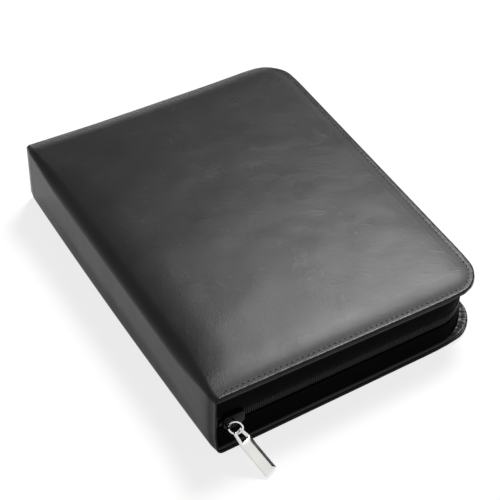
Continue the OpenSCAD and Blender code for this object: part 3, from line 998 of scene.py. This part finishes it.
# %% Round the castings
def from_model(node, name):
    """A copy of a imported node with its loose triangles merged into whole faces."""
    obj = bpy.data.objects.new(name, frame["nodes"][node].data.copy())
    bpy.context.scene.collection.objects.link(obj)
    edit(obj, weld, lambda: bpy.ops.mesh.dissolve_limited(angle_limit=math.radians(1)))
    return obj

slider, bail, ring = (from_model(node, name) for node, name in
                      (("slider_body", "slider"), ("slider_bail", "bail"),
                       ("pull_ring", "ring_wire")))
round_edges(slider, radius=0.35, angle=35, segments=3)
round_edges(bail, radius=0.18, angle=35)
ready(soften(slider, 40), "slider", "slider_metal", black_metal, "slider_body")
ready(soften(bail, 40), "slider", "slider_metal", black_metal, "slider_bail")
ready(soften(ring, 40), "ring", "bright_metal", nickel, "pull_ring")

tag = soften(from_model("pull_tag", "tag"), 40)     # its rim stays crisp under the bevel
face = max((p for p in tag.data.polygons if p.normal.z > 0), key=lambda p: p.area).index
only(tag)
pick(tag, "FACE", lambda p: p.index == face)
bpy.ops.mesh.inset(thickness=2.1 * mm, depth=0.6 * mm)
bpy.ops.object.mode_set(mode="OBJECT")
round_edges(tag, radius=0.09, angle=12)
ready(soften(tag, 20), "tag", "bright_metal", nickel, "pull_tag")
for node in ("back_zip_stops", "front_zip_stop"):
    dress(frame["nodes"][node], black_metal)

# %% [markdown]
# ## Inside: lining, padded panels and the divider
# The inside of a cover is a cloth lining with a padded velvet panel on it. Both have the cover's
# own plan, square at the spine and round at the fore-edge, so one helper cuts that plan: a plane
# whose two fore-edge corners are bevelled, extruded to its thickness, and inset a few times to puff
# it up.

# %% Cut and puff a panel
puff_steps = ((1.2, 0.45), (1.8, 0.28), (2.6, 0.18), (4, 0.09))     # mm inwards, share of the puff
lining_top = 4.9                        # mm above the cover's outer face

def panel(name, start, inset, radius, low, high, puff=0.0, both=False, edge=0.25):
    """A flat piece from start mm off the spine to inset mm in from the cover's other edges,
    between the heights low and high. It is puffed on its top, or on both faces."""
    bpy.ops.object.select_all(action="DESELECT")
    bpy.ops.mesh.primitive_plane_add(size=1)
    piece = bpy.context.object
    piece.name = piece.data.name = name
    for v in piece.data.vertices:
        x = case_w - inset if v.co.x > 0 else start
        v.co = Vector((x, math.copysign(half_len - inset, v.co.y), low)) * mm
    pick(piece, "VERT", lambda v: v.co.x > start * mm + 1e-6)
    bpy.ops.mesh.bevel(offset=radius * mm, segments=14, affect="VERTICES")
    bpy.ops.mesh.select_all(action="SELECT")
    bpy.ops.mesh.extrude_region_move(TRANSFORM_OT_translate={"value": (0, 0, (high - low) * mm)})
    centre = (low + high) / 2 * mm
    for sign in (1, -1) if both else (1,):
        pick(piece, "FACE", lambda p: len(p.vertices) > 8 and (p.center.z > centre) == (sign > 0))
        for step, share in puff_steps if puff else ():
            bpy.ops.mesh.inset(thickness=step * mm, depth=0)
            bpy.ops.transform.translate(value=(0, 0, sign * share * puff * mm))
    bpy.ops.object.mode_set(mode="OBJECT")
    edit(piece, outwards)
    round_edges(piece, edge, 50)
    return piece

velvet = Finish("panel_velvet", Roughness=0.9, Specular_IOR_Level=0.15, Sheen_Weight=0.35,
                Sheen_Roughness=0.45)
nap = velvet.noise(2600, 2)
brushed = velvet.noise(30, 4, stretch=(1, 0.4, 1))
velvet.relief(nap, 0.00018, 0.7)
velvet.tint(brushed * 0.6 + nap * 0.4, (0.010, 0.010, 0.012), (0.034, 0.034, 0.038))

for side_name, front in sides:
    body = side_name + "_cover"
    sheet = panel(side_name + "_inside_lining", start=6.2, inset=3.2, radius=26.6, low=4.2,
                  high=lining_top)
    ready(soften(settle(sheet, front), 35), body, "lining", cloth, side_name + "_lining")
    pad = panel(side_name + "_velvet_panel", start=9.1, inset=7, radius=22.8, low=lining_top,
                high=5.5, puff=0.5, edge=0.3)
    ready(soften(settle(pad, front), 50), body, "panel_cloth", velvet, side_name + "_pen_panel")

# %% [markdown]
# ## Pen loops
# One long elastic is sewn down between the pens, so that it stands in a row of loops. Its path is a
# row of arches with a narrow valley at each seam. The elastic is ribbed along its length, and a row
# of stitches across it holds it in every valley.

# %% Bend the elastic
pens, pen_pitch, first_pen = 10, 15.6, 20.85
last_pen = first_pen + (pens - 1) * pen_pitch
loop_floor, elastic_t = 5.9, 0.78
loop_r, loop_z, arch_steps = 7.1, 3.5, 14       # the arch, and the height of its centre
valley, foot = 0.42, 0.62                       # height at a seam, and at the foot of an arch

def elastic_path():
    path = [(first_pen - 13.5, valley), (first_pen - 9.5, valley), (first_pen - 8.3, valley)]
    for k in range(pens):
        x = first_pen + k * pen_pitch
        path += [(x - 7.35, foot), (x - loop_r, 1.3), (x - loop_r, loop_z)]
        for n in range(1, arch_steps):
            a = math.pi * n / arch_steps
            path.append((x - loop_r * math.cos(a), loop_z + loop_r * math.sin(a)))
        path += [(x + loop_r, loop_z), (x + loop_r, 1.3), (x + 7.35, foot)]
        if k < pens - 1:
            path.append((x + pen_pitch / 2, valley))
    return path + [(last_pen + 8.3, valley), (last_pen + 9.5, valley), (last_pen + 12.0, valley)]

def elastic(name, front):
    path = elastic_path()
    run = running(path)
    cuts = [3, 3.6] + [5 + 30 * k / 8 for k in range(9)] + [36.4, 37]       # mm from the middle

    def place(i, j):
        x, z = path[i]
        return x, cuts[j], loop_floor + z
    piece = lay(name, len(path) - 1, len(cuts) - 1, place, lambda i, j: (run[i], cuts[j]))
    modify(piece, "SOLIDIFY", thickness=elastic_t * mm, offset=0)
    edit(piece, outwards)
    return soften(settle(piece, front), 40)

def elastic_seams(name, front):
    """Eleven stitches in each valley, and beside the first and the last loop."""
    seams = [first_pen + (k - 0.5) * pen_pitch for k in range(pens + 1)]
    seams[0] -= 3.2
    seams[-1] += 3.2
    places = [Matrix.Translation(Vector((x, 5 + 3 * n, loop_floor + elastic_t)) * mm)
              @ Matrix.Rotation(math.pi / 2, 4, "Z") for x in seams for n in range(11)]
    return settle(repeat(name, thread_stitch(), places), front)

stretch = Finish("ribbed_elastic", Roughness=0.6, Specular_IOR_Level=0.35, Sheen_Weight=0.08)
ribs, knit = stretch.ridges("Y", 5600), stretch.ridges("X", 7000)
stretch.relief(ribs * 0.75 + knit * 0.25, 0.00022, 0.8)
stretch.tint(ribs * 0.6 + stretch.noise(80, 3) * 0.4, (0.006, 0.006, 0.0065),
             (0.022, 0.022, 0.023))

for side_name, front in sides:
    body = side_name + "_cover"
    ready(elastic(side_name + "_elastic", front), body, "elastic", stretch,
          side_name + "_pen_loops")
    ready(elastic_seams(side_name + "_elastic_seams", front), body, "thread", thread)

# %% [markdown]
# ## Divider and the folds inside
# A thin padded leaf keeps the two rows of pens apart. Its three free edges are bound with ribbed
# tape.

# %% Make the leaf and its binding
leaf = panel("padded_leaf", start=7.6, inset=8.4, radius=21.2, low=-0.75, high=0.75, puff=0.35,
             both=True, edge=0.5)
leaf.data.transform(Matrix.Translation(middle) @ Matrix.Rotation(lean, 4, "Y"))
ready(soften(settle(leaf, False), 50), "divider", "divider_cloth", velvet, "divider_leaf")

grosgrain = Finish("binding_tape", Roughness=0.6, Specular_IOR_Level=0.3, Sheen_Weight=0.06)
cords = grosgrain.ridges("X", 5000)
grosgrain.relief(cords, 0.00015, 0.8)
grosgrain.tint(cords * 0.5 + grosgrain.noise(70, 3) * 0.5, (0.006, 0.006, 0.0065),
               (0.020, 0.020, 0.021))

def binding(name):
    """A tape folded over the leaf's edge: wrap holds (inset, height over the leaf's middle)."""
    wrap = [(12.0, 1.12), (9.2, 1.12), (8.15, 0.75), (7.95, 0.0), (8.15, -0.75), (9.2, -1.12),
            (12.0, -1.12), (12.0, -0.9), (8.9, -0.6), (8.9, 0.6), (12.0, 0.9)]
    stations = stations_from(start=9.0)
    lengths = length_along(stations)

    def place(i, j):
        inset, z = wrap[j % len(wrap)]
        spot = on_wall(stations[i], inset)
        return spot.x, spot.y, zip_height(spot.x) + z
    piece = lay(name, len(stations) - 1, len(wrap), place, lambda i, j: (lengths[i], 1.1 * j))
    edit(piece, close_ends)
    return soften(settle(piece, False), 50)

ready(binding("leaf_binding"), "divider", "binding", grosgrain, "divider_binding")

# %% [markdown]
# A strip of cloth hangs the leaf from the spine, and the folds between the spine and the covers are
# lined too. Each of these strips spans two bodies, as cloth over a hinge does, so its path is cut in
# short steps. It is set in place here and is attached to neither body.

# %% Hang the leaf and line the folds
def strip_of_cloth(name, path, width, thick, front):
    """A strip along the spine: path holds its (x, z) points, width its length along the spine."""
    columns = 40
    cuts = [-width / 2 + width * k / columns for k in range(columns + 1)]
    run = running(path)
    piece = lay(name, len(path) - 1, columns, lambda i, j: (path[i][0], cuts[j], path[i][1]),
                lambda i, j: (cuts[j], run[i]))
    modify(piece, "SOLIDIFY", thickness=thick * mm, offset=0)
    edit(piece, outwards)
    return soften(settle(piece, front), 50)

def in_short_steps(points, steps):
    out = []
    for a, b in zip(points, points[1:]):
        out += [(lerp(a[0], b[0], k / steps), lerp(a[1], b[1], k / steps)) for k in range(steps)]
    return out + [points[-1]]

hang_z, hang_len = zip_height(8), 212

def hanging_strip(name, face, end_off):
    """A strip from the spine to the leaf's upper face, 1, or its lower one, -1. end_off is how
    far off the leaf's middle it ends."""
    path = [(3.7, 5), (4.1, 2.2), (5.2, 1.15), (8, 1.0), (14.5, end_off)]
    path = in_short_steps([(x, hang_z + face * off) for x, off in path], 5)
    return strip_of_cloth(name, path, width=hang_len, thick=0.3, front=False)

hang = join(hanging_strip("leaf_hanging_strip", 1, 1.05),
            hanging_strip("leaf_hanging_strip_low", -1, 1.25))
ready(hang, ("spine", "divider", on_back(6.0, hang_z), on_back(9.8, hang_z)), "lining", cloth)

fold_path = [(9.4, 5.0), (6.4, 4.95), (4.9, 4.55), (3.95, 4.9), (3.75, 6.4), (3.7, 9.0)]
lining_len, lining_bend = 225, (7.2, 3.0)
for (side_name, front), point in zip(sides, (on_back, on_front)):
    fold = strip_of_cloth(side_name + "_fold_lining", in_short_steps(fold_path, 4),
                          width=lining_len, thick=0.35, front=front)
    bends = (side_name + "_cover", "spine", point(*lining_bend), point(*lining_bend[::-1]))
    ready(fold, bends, "lining", cloth)

# %% [markdown]
# The spine's lining is a plain strip that rides on the spine alone. It is turned over both ends of
# the spine's board, which would show beside the zip.

# %% Line the spine
lining_low, lining_high, lining_steps = 6.2, 37.8, 10
up_the_spine = [lerp(lining_low, lining_high, k / lining_steps) for k in range(lining_steps + 1)]

def turned_end(end):
    """The lining over the board's tail end, -1, or its head end, 1."""
    board_face, board_end, board_t, flap_t = 1.8, 111.0, 1.4, 0.4
    flap = lay("spine_lining_end", lining_steps, 1,
               lambda i, j: (board_face + board_t * j, end * board_end, up_the_spine[i]),
               lambda i, j: (board_t * j, up_the_spine[i] - lining_low))
    modify(flap, "SOLIDIFY", thickness=flap_t * mm, offset=0)
    edit(flap, outwards)
    return soften(settle(flap, False), 50)

spine_lining = strip_of_cloth("spine_inside", [(3.3, z) for z in up_the_spine],
                              width=lining_len, thick=0.6, front=False)
join(spine_lining, turned_end(-1), turned_end(1))
foot_of_spine = Matrix.Translation((-case_w / 2 * mm, 0, 0))
spine_lining.data.transform(foot_of_spine @ Matrix.Rotation(lean, 4, "Y")
                            @ foot_of_spine.inverted())
ready(spine_lining, "spine", "lining", cloth, "spine_lining")

# %% [markdown]
# ## Hidden layers
# Foam, board, the strip that carries the divider and the zip's stops stay as packed. They still get
# real finishes, because the case can be shown in pieces.

# %% Finish the hidden layers
foam = Finish("grey_foam", Roughness=0.9, Specular_IOR_Level=0.2)
bubbles = foam.cells(1100)
foam.relief(bubbles, 0.0002, 0.6)
foam.tint(bubbles, (0.16, 0.16, 0.15), (0.34, 0.34, 0.32))
greyboard = Finish("board", Roughness=0.8, Specular_IOR_Level=0.3)
fibres = greyboard.noise(900, 4, stretch=(1, 0.3, 1))
greyboard.relief(fibres, 0.0001, 0.4)
greyboard.tint(fibres, (0.12, 0.09, 0.06), (0.22, 0.17, 0.12))
layers = {"back_foam": foam, "front_foam": foam, "back_board": greyboard,
          "front_board": greyboard, "spine_board": greyboard, "divider_anchor": grosgrain}
for node, finish in layers.items():
    dress(frame["nodes"][node], finish)
print("hidden layers:", *layers)

# %% [markdown]
# ## The floor
# A white table. It is mixed with a plain white glow for the camera and for reflections, so that it
# reads as white paper while it still keeps the soft shadow under the case.

# %% Lay the floor
def backdrop(name, size, location, rotation=(0, 0, 0)):
    """A plane that lies or stands beside the case."""
    bpy.ops.object.select_all(action="DESELECT")
    bpy.ops.mesh.primitive_plane_add(size=size, location=location, rotation=rotation)
    plane = bpy.context.object
    plane.name = name
    return plane

floor = backdrop("floor", size=6, location=(0, 0, -0.2 * mm))
paper = Finish("white_table", Roughness=0.9)
paper.tint(paper.noise(3, 2), (0.84, 0.84, 0.84), (0.88, 0.88, 0.88))
glow = paper.add("ShaderNodeEmission", Color=(1, 1, 1, 1), Strength=1.0)
lit = paper.add("ShaderNodeMixShader", _0=paper.seen_or_mirrored() * 0.8,
                _1=paper.shader.outputs[0], _2=glow.outputs[0])
paper.put(paper.tree.nodes["Material Output"].inputs["Surface"], lit.outputs[0])
dress(floor, paper)
print("floor at", round(floor.location.z / mm, 2), "mm")

# %% [markdown]
# Polished metal shows what stands round it, and among white surroundings it would be white all
# over. A black card, seen only in reflections, stands to the right of the puller and draws the
# right slope of the tag as a dark line.

# %% Stand a dark card beside the puller
card = backdrop("dark_card", size=0.5, location=(0.42, -0.16, 0.0),
                rotation=(0, math.radians(90), math.radians(8)))
felt = Finish("black_card", Roughness=1.0, Specular_IOR_Level=0.0)
felt.tint(felt.noise(20), (0.004, 0.004, 0.004), (0.008, 0.008, 0.008))
dress(card, felt)
card.visible_camera = card.visible_diffuse = card.visible_shadow = False
print("dark card at", [round(c, 2) for c in card.location])
